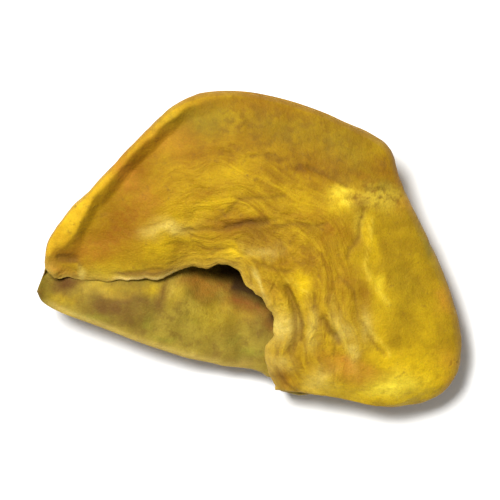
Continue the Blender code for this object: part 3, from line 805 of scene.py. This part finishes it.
# What the material reads by name: a number for each point of the outer face and of the inner face.
looks = {
    "upper_leaf": (leaf, leaf),
    "lining": (none, none + 1),
    "fibrous": (fibrous(row, share), none),
    "proud": (fields["proud"], none),
    "furrow": (fields["furrow"], none),
    # Painted shade in the hollows of the relief, and painted light on its crests.
    "hollow": (np.clip(-relief / RELIEF_SPAN, 0.0, 1.0), none),
    "crest_light": (np.clip(relief / RELIEF_SPAN, 0.0, 1.0), none),
    "rind": (bell(from_roll, 0.0, rind_reach), none),
    # The lip's own paler tone, with painted highlight on it and on the rim at the top.
    "lip": (np.maximum(on_lip, rim_highlight) * leaf, none),
    "shaded": (beside_lip * leaf * (1 - smooth_step(*LIP_SHADE_ROWS, row)), none),
    "knotty": (marks(*outer_plan, KNOTTY) * leaf, none),
    "mottled": (marks(*outer_plan, MOTTLED) * leaf, none),
    "shade_under_cover": (none, shade_under_cover * (1 - smooth_step(*COVER_END, row))),
    "half_shade_beside_gap": (none, gaping * bell(past_gap, *BESIDE_GAP)),
    "core": (smooth_step(*CORE, np.minimum(edge, from_roll) + core_wander) * below, none),
    "torn": (fringe, fringe),
    "dry_strip": (on_torn * bell(edge, *DRY_STRIP), on_lobe * bell(edge, *LOBE_STRIP) * below),
    "brown_line": (on_torn * bell(edge, *BROWN_LINE), none),
}
for name, listed in UPPER_MARKS.items():
    looks[name] = marks(*outer_plan, listed) * leaf, marks(*inner_plan, LINING_MARKS[name]) * below
for name, (upper, lining) in looks.items():
    layer = mesh.attributes.new(name, "FLOAT", "POINT")
    layer.data.foreach_set("value", np.where(on_lining, lining[at], upper[at]).astype(np.float32))

# The map of the sheet runs along the fibres in one direction and across them in the other, in millimetres.
fibre_map = np.stack([fields["run"], fields["across"]], axis=2)[at]
corner_vertex = np.empty(len(mesh.loops), dtype=int)
mesh.loops.foreach_get("vertex_index", corner_vertex)
mesh.uv_layers[0].name = "fibres"
mesh.uv_layers[0].uv.foreach_set("vector", fibre_map[corner_vertex].astype(np.float32).ravel())

# Dried turmeric flesh. Cut wet and dried in the sun, it is horny and nearly matt. The curcumin in it gives
# the ochre to deep yellow, its fibres pale and dark streaks that follow the torn mouth, and where it dried
# last it browned. The cut face below and the lining are duller and more olive than the top. Some tones are
# painted light and shade: shade inside the hollow and beside its gap, in the creases, the hollows of the
# fibres and the valley behind the lip, and highlight on the crests, the lip and the rim at the top.
# A pair is a place's darkest and lightest tone, and a single tone is laid over those.
FLESH_RIM = ("#8A6904", "#AF8D0A")      # smooth flesh outside the fibres
FLESH_FIBRES = ("#8C6604", "#B8930F")   # the fibres
FLESH_LINING = ("#6C5612", "#A08A2C")   # the inner face
FLESH_UNDER = ("#7A5814", "#AE8C2E")    # the outer face of the lower leaf
RIND = ("#7C5C30", "#AC8040")           # thin skin of the root, left round the roll
LIP = ("#BE900A", "#DEB41E")            # the raised lip, which dried hard and pale, made lighter still by painted highlight where it faces the light
KNOT_TONES = ("#86601A", "#E2C23A")     # the knot's flecks
UNDER_BROWN = "#6E4812"                 # browned patches of the lower leaf
LINING_FLECK = "#6A4E18"
CORE_TONE = "#9A6A12"
BROWN_AND_SHADE_TONES = ("#8C5A04", "#6C4A20")        # what browned as it dried, and painted shade behind the lip and on the lobe by the gap: first on the outer faces, then inside
# painted half shade on the lobe beside the dark gap
GAP_HALF_SHADE = "#86481A"
# painted shade in the hollows of the fibres, and painted light on their crests
HOLLOW_SHADE_TONE = "#7A560E"
CREST_LIGHT_TONE = "#CCA310"
MOTTLE_TONE = "#80580A"
SPECKLE_TONE = "#74521A"
# painted shade in the furrows, folds and groove
FURROW_SHADE_TONE = "#664410"
PROUD_TONE = "#DDBF3C"
FRINGE_TONE = "#D6B658"
STRIP_TONE = "#EACB74"
# painted shade inside the hollow
COVER_SHADE_TONE = "#3A240E"
MARK_TONES = {"olive": "#847E20", "orange": "#BE8222", "pale": "#DAC05C", "yellow": "#DCB60A",
              "fresh": "#F2D83A", "darkest": "#5C3A0C"}

# Each pattern is its size in millimetres, and the noise where it starts and where it is full.
STREAK_COARSE = (5.0, 1.1, 0.3, 0.7)    # streaks in the fibres, with their length and their width
STREAK_FINE = (2.0, 0.4, 0.32, 0.68)
MOTTLE = (2.4, 0.3, 0.7)                # cloudy tones
BLOTCH = (5.0, 0.3, 0.7)                # and the broadest ones
PATCHES = (0.9, 0.25, 0.6)              # flecks that break up each mark
PITS = (1.1, 0.48, 0.66)                # pits round the knot
LINING_FLECKS = (1.3, 0.45, 0.7)        # brown flecks on the lining
UNDER_PATCHES = (4.0, 0.48, 0.66)       # browned patches below
DOME_FLECKS = (1.1, 0.42, 0.66)         # brown flecks on the dome
SPECKLES = (0.9, 0.57, 0.74)            # dark freckles
GRAIN = (0.2, 0.25, 0.75)               # the finest grain of the dry flesh
STREAK_NOISE = {"Scale": 1.0, "Detail": 4.0, "Roughness": 0.6, "Distortion": 0.6}
CLOUD_NOISE = {"Detail": 3.0, "Roughness": 0.6}
RING_NOISE = {"Scale": 1.0, "Detail": 3.0}
FINE_SHARE = 0.3                # share of the fine streaks among the streaks
MOTTLE_SHARE = 0.45             # share of the cloudy tones beside the broadest ones
PATCHES_LEAST = 0.55            # strength of a mark between its flecks
GRAIN_SHADE = (0.9, 1.07)       # how dark and how light the grain makes the tone
RINGS = (1.3, 4.0)              # spacing along the roll and length of the rings of the rind
RELIEF = 0.00022                # height of the finest relief, in metres, and each pattern's share in it
RELIEF_SHARES = {"streak": 0.9, "mottle": 0.8, "grain": 0.3, "pits": -0.4}
BUMP_STRENGTH = 0.55
ROUGHNESS = 0.68
GLOSS = 0.15                    # little light glances off the dry, granular surface
GLOW = 0.12                     # share of light that passes through the horny flesh
GLOW_COLOURS = (1.0, 0.5, 0.15) # how deep it gets in red, green and blue, as shares of the depth
GLOW_DEPTH = 0.0006             # in metres

flesh = bpy.data.materials.new("dried_turmeric_flesh")
flesh.use_nodes = True
shader = flesh.node_tree.nodes["Principled BSDF"]
fibre_uv = add_node("UVMap", {"uv_map": "fibres"}, {}, "UV")
object_place = add_node("TexCoord", {}, {}, "Object")
in_mm = add_node("VectorMath", {"operation": "SCALE"}, {"Vector": object_place, "Scale": 1 / MM}, "Vector")
field = {name: add_node("Attribute", {"attribute_name": name}, {}, "Fac") for name in looks}


def streaks(length, width, low, high):
    """Streaks of one length and width along the fibres, from nought to one."""
    stretched = add_node("Mapping", {},
                         {"Vector": fibre_uv, "Scale": (1 / length, 1 / width, 1.0)}, "Vector")
    noise = add_node("TexNoise", {"noise_dimensions": "2D"}, {"Vector": stretched, **STREAK_NOISE}, "Fac")
    return add_node("MapRange", {"interpolation_type": "SMOOTHSTEP"},
                    {"Value": noise, "From Min": low, "From Max": high}, "Result")


def clouds(size, low, high):
    """Cloudy noise of one size, from nought to one."""
    noise = add_node("TexNoise", {}, {"Vector": in_mm, "Scale": 1 / size, **CLOUD_NOISE}, "Fac")
    return add_node("MapRange", {"interpolation_type": "SMOOTHSTEP"},
                    {"Value": noise, "From Min": low, "From Max": high}, "Result")


coarse, fine = streaks(*STREAK_COARSE), streaks(*STREAK_FINE)
mottle, blotch = clouds(*MOTTLE), clouds(*BLOTCH)
patches, grain, pits = clouds(*PATCHES), clouds(*GRAIN), clouds(*PITS)
streak = add_node("Mix", {},
                  {"Factor_Float": FINE_SHARE, "A_Float": coarse, "B_Float": fine}, "Result_Float")
cloud = add_node("Mix", {},
                 {"Factor_Float": MOTTLE_SHARE, "A_Float": blotch, "B_Float": mottle}, "Result_Float")
flecked = add_node("MapRange", {}, {"Value": patches, "To Min": PATCHES_LEAST}, "Result")
ring_place = add_node("Mapping", {},
                      {"Vector": fibre_uv, "Scale": (1 / RINGS[0], 1 / RINGS[1], 1.0)}, "Vector")
rings = add_node("TexNoise", {"noise_dimensions": "2D"}, {"Vector": ring_place, **RING_NOISE}, "Fac")

# The tones that change from place to place, each by its own pattern.
varied = {}
for name, pattern, tones in (("under", cloud, FLESH_UNDER), ("rim", cloud, FLESH_RIM),
                             ("fibres", streak, FLESH_FIBRES), ("lining", cloud, FLESH_LINING),
                             ("lip", cloud, LIP), ("rind", rings, RIND), ("knot", patches, KNOT_TONES),
                             ("browned_and_shade", field["lining"], BROWN_AND_SHADE_TONES)):
    first, second = linear(tones[0]), linear(tones[1])
    varied[name] = add_node("Mix", {"data_type": "RGBA"},
                            {"Factor_Float": pattern, "A_Color": first, "B_Color": second}, "Result_Color")

# The tones are laid over one another in this order, each where its field says, in its strength there, and
# broken up by a pattern.
layers = [
    (UNDER_BROWN, clouds(*UNDER_PATCHES), 0.6, flecked),
    (UNDER_BROWN, streak, 0.3, flecked),
    (CORE_TONE, field["core"], 0.5, flecked),
    (varied["rim"], field["upper_leaf"], 1.0, None),
    (varied["fibres"], field["fibrous"], 1.0, None),
    (varied["lip"], field["lip"], 0.9, None),
    (varied["lining"], field["lining"], 1.0, None),
    (LINING_FLECK, field["lining"], 0.55, clouds(*LINING_FLECKS)),
    (varied["rind"], field["rind"], 0.6, None),
    (HOLLOW_SHADE_TONE, field["hollow"], 0.42, None),
    (CREST_LIGHT_TONE, field["crest_light"], 0.2, None),
    (varied["browned_and_shade"], field["browned_and_shade"], 1.0, flecked),
    (MOTTLE_TONE, field["mottled"], 0.95, clouds(*DOME_FLECKS)),
    *[(tone, field[name], 1.0, flecked) for name, tone in MARK_TONES.items()],
    (BROWN_AND_SHADE_TONES[0], field["shaded"], 0.8, None),
    (GAP_HALF_SHADE, field["half_shade_beside_gap"], 0.7, flecked),
    (varied["knot"], field["knotty"], 0.7, None),
    (SPECKLE_TONE, field["knotty"], 0.4, pits),
    (SPECKLE_TONE, cloud, 0.6, clouds(*SPECKLES)),
    (MARK_TONES["darkest"], field["brown_line"], 0.75, None),
    (FRINGE_TONE, field["torn"], 1.0, None),
    (STRIP_TONE, field["dry_strip"], 0.8, None),
    (PROUD_TONE, field["proud"], 0.42, fine),
    (FURROW_SHADE_TONE, field["furrow"], 0.68, None),
    (COVER_SHADE_TONE, field["shade_under_cover"], 0.94, None),
]
tone = varied["under"]
for colour, where, strength, pattern in layers:
    if isinstance(colour, str):
        colour = linear(colour)
    factor = add_node("Math", {"operation": "MULTIPLY"}, {"Value": where, "Value_001": strength}, "Value")
    if pattern is not None:
        factor = add_node("Math", {"operation": "MULTIPLY"},
                          {"Value": factor, "Value_001": pattern}, "Value")
    tone = add_node("Mix", {"data_type": "RGBA"},
                    {"Factor_Float": factor, "A_Color": tone, "B_Color": colour}, "Result_Color")
shade = add_node("MapRange", {},
                 {"Value": grain, "To Min": GRAIN_SHADE[0], "To Max": GRAIN_SHADE[1]}, "Result")
tone = add_node("Mix", {"data_type": "RGBA", "blend_type": "MULTIPLY"},
                {"Factor_Float": 1.0, "A_Color": tone, "B_Color": shade}, "Result_Color")

# The finest relief. The streaks are felt in the fibres only, and the pits round the knot only.
in_fibres, at_knot = (
    add_node("Math", {"operation": "MULTIPLY"}, {"Value": pattern, "Value_001": field[name]}, "Value")
    for pattern, name in ((streak, "fibrous"), (pits, "knotty")))
height = 0.0
for pattern, part in ((in_fibres, "streak"), (mottle, "mottle"), (grain, "grain"), (at_knot, "pits")):
    height = add_node("Math", {"operation": "MULTIPLY_ADD"},
                      {"Value": pattern, "Value_001": RELIEF_SHARES[part], "Value_002": height}, "Value")
bumped = add_node("Bump", {}, {"Strength": BUMP_STRENGTH, "Distance": RELIEF, "Height": height}, "Normal")
flesh.node_tree.links.new(tone, shader.inputs["Base Color"])
flesh.node_tree.links.new(bumped, shader.inputs["Normal"])
for name, value in (("Roughness", ROUGHNESS), ("Specular IOR Level", GLOSS), ("Subsurface Weight", GLOW),
                    ("Subsurface Radius", GLOW_COLOURS), ("Subsurface Scale", GLOW_DEPTH)):
    shader.inputs[name].default_value = value
mesh.materials.clear()
mesh.materials.append(flesh)

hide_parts("turmeric_slice")
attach(root_slice, "root")


# The floor
# A plain sheet of white board, far larger than the frame.
FLOOR_SIZE = 2.0
BOARD_TONE = "#FAFAF8"
BOARD_ROUGHNESS = 0.8

bpy.ops.object.select_all(action="DESELECT")
bpy.ops.mesh.primitive_plane_add(size=FLOOR_SIZE)
floor = bpy.context.object
floor.name = "floor"
board = bpy.data.materials.new("white_board")
board.use_nodes = True
board.node_tree.nodes["Principled BSDF"].inputs["Base Color"].default_value = linear(BOARD_TONE)
board.node_tree.nodes["Principled BSDF"].inputs["Roughness"].default_value = BOARD_ROUGHNESS
floor.data.materials.append(board)


# The light
# A large soft box at the upper left, as in the photograph, in an evenly lit white room.
KEY_PLACE = (-0.17, 0.19, 0.64)
KEY_SIZE = 0.2
KEY_POWER = 7.0
ROOM = "#FFFFFF"
ROOM_STRENGTH = 0.275

bpy.ops.object.light_add(type="AREA", location=KEY_PLACE)
key = bpy.context.object
key.data.shape = "SQUARE"
key.data.size = KEY_SIZE
key.data.energy = KEY_POWER
key.rotation_euler = (-key.location).to_track_quat("-Z", "Y").to_euler()
room = bpy.data.worlds.new("white_room")
room.use_nodes = True
room.node_tree.nodes["Background"].inputs["Color"].default_value = linear(ROOM)
room.node_tree.nodes["Background"].inputs["Strength"].default_value = ROOM_STRENGTH
bpy.context.scene.world = room
bpy.context.scene.view_settings.view_transform = "Standard"
